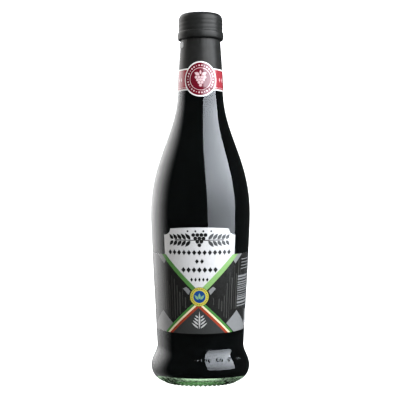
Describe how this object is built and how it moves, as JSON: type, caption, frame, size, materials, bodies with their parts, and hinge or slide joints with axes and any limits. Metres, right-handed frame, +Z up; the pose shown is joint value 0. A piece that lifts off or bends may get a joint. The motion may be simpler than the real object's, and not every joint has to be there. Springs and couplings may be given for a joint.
{
  "type": "vinegar bottle",
  "caption": "Half-litre waisted green glass bottle of dark vinegar with a knurled heel, a black capsule over cap and neck, a paper neck band with a medallion and a die-cut label.",
  "frame": {"origin": "centre of the bottle's foot, on the plane that it stands on", "axes": "+Z up the bottle's axis, the front of the label faces -Y"},
  "size_m": [0.0716, 0.0716, 0.2651],
  "materials": {
    "green_glass": "polished, green tint",
    "dark_vinegar": "dark brown liquid",
    "black_film": "satin black shrink film",
    "red_paper": "varnished red print",
    "label_paper": "satin printed paper"
  },
  "bodies": {
    "root": {"bottle_glass": "green_glass", "vinegar": "dark_vinegar", "capsule": "black_film", "neck_band": "red_paper", "front_label": "label_paper"}
  },
  "joints": []
}
